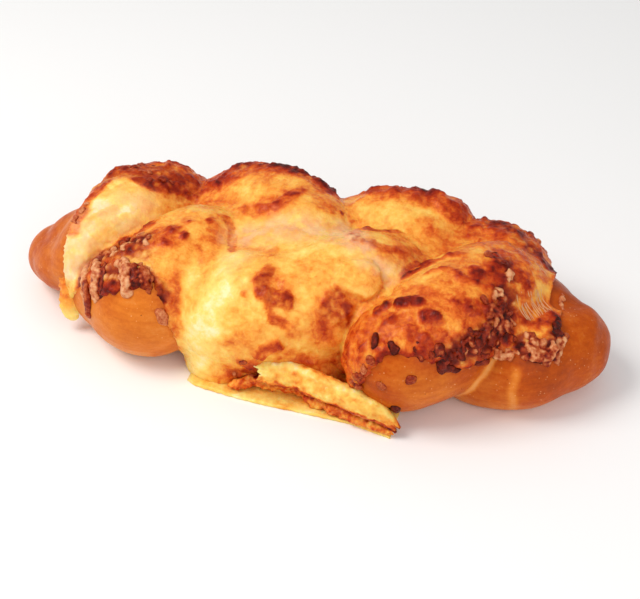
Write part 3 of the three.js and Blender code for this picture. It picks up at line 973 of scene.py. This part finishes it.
def strand(waypoints, steps, sides, flatness, lumpiness, seed):
    """Points and faces of a lumpy closed tube with round ends, flattened against the loaf."""
    points, faces, middle = round_tube(waypoints, steps, sides, BLUNT_END, 0.02)
    lumps = noise_field(points, 5, 3, seed) + 0.5 * noise_field(points, 2, 2, seed)
    offset = (points - middle) * (1 + lumpiness * lumps)[:, None]
    return middle + offset * (1, flatness, 1), faces


def make_strands(material, box, tree):
    """The flap that hangs at the left end, the browned band in front and the threads at the right end."""
    rng = np.random.default_rng(SEED)
    (top, last_top), (foot, last_foot) = np.array(THREAD_TOPS, float), np.array(THREAD_FEET, float)
    shapes = []
    for i in range(THREAD_COUNT):
        share = (i + 0.5) / THREAD_COUNT + rng.normal(0, 0.05, 2)
        ends = top + share[0] * (last_top - top), foot + share[1] * (last_foot - foot)
        middle = sum(ends) / 2 + rng.normal(0, 0.8, 3)
        laid = [(*place, THREAD_RADIUS) for place in snapped([ends[0], middle, ends[1]], tree, 99)]
        shapes.append(strand(laid, 40, 8, 1.0, 0.3, 60 + i))
    shapes += [strand(FLAP, 60, 40, 0.45, 0.3, 61), strand(BAND, 260, 36, 1.0, 0.5, 62)]
    points, faces = join_shapes(shapes)
    strands = new_object("cheese_strands", kept_in_box(points, box), faces)
    flap, threads = points[:, 0] < -50, points[:, 0] > 80
    browning = 0.5 + 0.2 * noise_field(points, 5, 3, 63) + 0.14 * noise_field(points, 1.8, 3, 64)
    browning[flap] = 0.1 + 0.34 * smooth_step(points[flap, 2], 9, 20)
    browning[threads] = -0.1
    return finish_piece(strands, material, browning=browning, pinkness=0, grain=threads)


def make_foot(material, box):
    """The flat sheet of cheese on the tray: a row of cross-sections, each a closed outline."""
    x, y = np.array(FOOT_FRONT, float).T
    columns = np.linspace(x[0], x[-1], 150)
    front = np.interp(columns, x, y) + 0.5 * noise_field(np.outer(columns, (1, 0, 0)), 5, 3, 30)
    rim = np.linspace(-math.pi / 2, math.pi / 2, 9)
    sections = []
    for place, edge in zip(columns, front):
        end = min(1, (place - x[0] + 0.3) / 2.5, (x[-1] - place + 0.3) / 2.5)
        half, start = FOOT_THICKNESS / 2 * math.sqrt(end), edge + FOOT_LIP
        lip = [(place, start - FOOT_LIP * math.cos(a), half * (1 + math.sin(a))) for a in rim]
        top = [(place, start + d, 2 * half + 0.02 * d) for d in np.geomspace(0.6, FOOT_BACK - edge, 26)]
        sections.append([(place, FOOT_BACK, 0.0)] + lip + top)
    points = np.array(sections).reshape(-1, 3)
    bumps = 0.35 * noise_field(points, 6, 3, 31) + 0.15 * noise_field(points, 2, 2, 32)
    points[:, 2] += smooth_step(points[:, 2], 0.6, 1.4) * bumps
    faces = grid_faces(len(sections), len(sections[0]), True)
    foot = new_object("cheese_foot", kept_in_box(points, box), faces)
    browning = 0.18 + 0.14 * noise_field(points, 8, 3, 33) + 0.06 * noise_field(points, 3, 3, 35)
    share = 0.9 * painted(points, warp_of(points), *FOOT_STROKE, 0.1)
    browning += share * (FOOT_BROWNING - browning)
    return finish_piece(foot, material, browning=browning, pinkness=0, grain=0)


def make_curl(material, box):
    """The rolled edge: a curled sheet, open underneath and at its ragged left end."""
    line, radius, ahead = rope_line(CURL, 160)
    turn = np.radians(np.linspace(-62, 236, 70))  # from the front's lower edge over the top to the back
    rows, count = len(line), len(turn)
    near_edge = smooth_step(-turn, 0, 1)
    wobble = 0.8 * noise_field(line, 4, 3, 44)
    away = around(ahead, turn + near_edge * wobble[:, None])
    away += 0.12 * near_edge[:, None] * around(ahead, np.zeros(1))
    rough = (line[:, None] + radius[:, None, None] * away).reshape(-1, 3)
    away = away.reshape(-1, 3)
    size = np.repeat(radius, count)[:, None]
    degrees = np.tile(np.degrees(turn), rows)
    along = np.repeat(np.linspace(0, 1, rows), count)
    ledge = smooth_step(-degrees + 20 * noise_field(rough, 5, 3, 47), 14, 30)  # the brown rim under the roll
    bulge = 0.8 * noise_field(rough, 9, 3, 40) + 0.5 * noise_field(rough, 3.2, 3, 41) + 0.4 * ledge
    ragged = 2.4 * noise_field(np.outer(degrees, (1, 0, 0)), 22, 3, 42)
    mouth = 3.5 * np.exp(-(((degrees - 20) / 38) ** 2))  # the front wall starts late: the roll gapes there
    slide = (mouth + ragged) * smooth_step(along, 0.24, 0) + ragged * smooth_step(along, 0.9, 1)
    outer = rough + away * bulge[:, None] * np.minimum(1, size / 5)
    outer += np.repeat(ahead, count, axis=0) * slide[:, None]
    inner = outer - away * np.minimum(CURL_THICKNESS, 0.6 * size)
    outer, inner = above_floor(outer, 0.4), above_floor(inner, 0.4)
    quads = np.array(grid_faces(rows, count, False))
    curl = new_sheet("cheese_curl", kept_in_box(outer, box), kept_in_box(inner, box), quads)
    browning = 0.28 + 0.17 * noise_field(outer, 7, 3, 43) + 0.1 * noise_field(outer, 2.4, 3, 45)
    browning += ledge * (0.3 + 0.2 * noise_field(outer, 2.6, 3, 48))
    # painted highlight: paler along the roll's crest
    browning -= 0.12 * smooth_step(np.abs(degrees - 75), 30, 8)
    browning -= 0.2 * smooth_step(along, 0.08, 0) * (degrees > 0)
    browning += 0.22 * smooth_step(along, 0.84, 1)
    # painted shade inside the roll: its inner surface darker all over, most towards the open left end
    inside = browning + 0.2 + 0.5 * smooth_step(along, 0.3, 0.15)
    return finish_piece(curl, material, browning=np.append(browning, inside), pinkness=0, grain=0)


# ---- Stage, light and camera ----


def make_stage():
    corners = FLOOR_HALF / MM * np.array([(-1, -1, 0), (1, -1, 0), (1, 1, 0), (-1, 1, 0)])
    floor = new_object("floor", corners, [range(4)])
    n = Nodes("pale_floor")
    floor.data.materials.append(n.finish(FLOOR_COLOUR, 0.8, n.bump(n.noise(3), 0.05, 0.1)))


def add_light(name, place, size, watts, colour):
    light = bpy.data.lights.new(name, "AREA")
    light.size = size
    light.energy = watts
    light.color = colour
    thing = bpy.data.objects.new(name, light)
    thing.location = place
    thing.rotation_euler = (Vector(LIGHT_AIM) - Vector(place)).to_track_quat("-Z", "Y").to_euler()
    bpy.context.scene.collection.objects.link(thing)


def make_light_and_camera():
    world = bpy.data.worlds.new("studio")
    world.use_nodes = True
    background = world.node_tree.nodes["Background"]
    background.inputs["Color"].default_value = (1, 1, 1, 1)
    background.inputs["Strength"].default_value = WORLD_STRENGTH
    bpy.context.scene.world = world
    for light in LIGHTS:
        add_light(*light)
    a, e = math.radians(VIEW_AZIMUTH), math.radians(VIEW_ELEVATION)
    back = Vector((math.sin(a) * math.cos(e), -math.cos(a) * math.cos(e), math.sin(e)))
    data = bpy.data.cameras.new("camera")
    data.lens = 85
    data.sensor_width = 36
    data.shift_x, data.shift_y = VIEW_SHIFT
    data.clip_start = 0.01
    camera = bpy.data.objects.new("camera", data)
    camera.location = Vector(VIEW_TARGET) + VIEW_DISTANCE * back
    camera.rotation_euler = (-back).to_track_quat("-Z", "Y").to_euler()
    bpy.context.scene.collection.objects.link(camera)
    bpy.context.scene.camera = camera
    bpy.context.scene.view_settings.view_transform = "Standard"


def main():
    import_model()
    cad_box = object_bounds()
    box = [[c / MM for c in corner] for corner in cad_box]
    make_stage()
    make_light_and_camera()
    skin = Skin()
    dough, tree = make_dough(skin, box)
    cheese = make_cheese(skin, box, tree)
    melted = cheese.data.materials[0]
    foot = make_foot(melted, box)
    curl = make_curl(melted, box)
    crumbs = make_crumbs(tree, tree_of(dough, cheese, foot), box)
    strands = make_strands(melted, box, tree_of(cheese))
    slots = {
        dough: "bread_crust", cheese: "melted_cheese", foot: "melted_cheese", curl: "melted_cheese",
        crumbs: "toasted_cheese", strands: "melted_cheese",
    }
    for piece, slot in slots.items():
        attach(piece, "root")
        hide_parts(NODE)


main()
